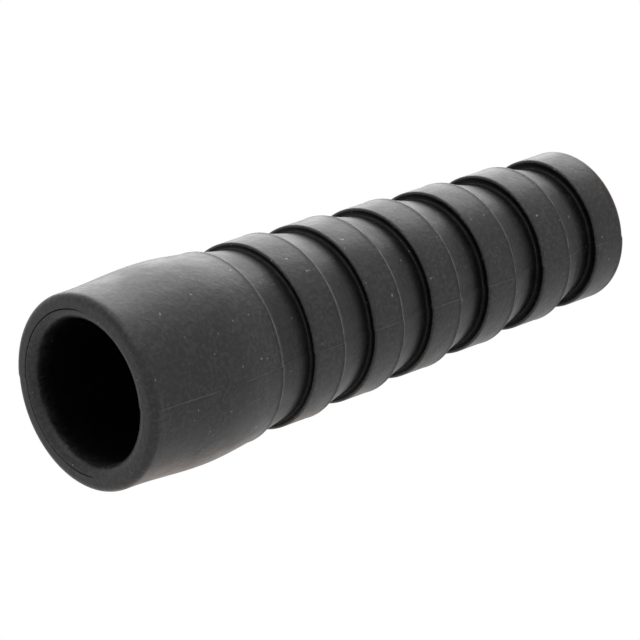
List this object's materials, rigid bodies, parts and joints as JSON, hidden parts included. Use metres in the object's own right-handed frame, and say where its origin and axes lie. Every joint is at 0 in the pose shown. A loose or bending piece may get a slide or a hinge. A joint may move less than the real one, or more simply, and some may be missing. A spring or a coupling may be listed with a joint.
{
  "type": "strain relief bushing",
  "caption": "Moulded black rubber strain relief bushing: a smooth sleeve that grips a connector's ferrule, and a tapering ribbed tail that bends with the cable.",
  "frame": {"origin": "on the axis, at the mouth face that the bushing stands on", "axes": "+Z along the axis, from the mouth to the tail; the mould's parting plane holds the axis and Y"},
  "size_m": [0.0112, 0.0112, 0.038],
  "materials": {
    "rubber": "matt, as moulded"
  },
  "bodies": {
    "root": {"boot": "rubber"}
  },
  "joints": []
}
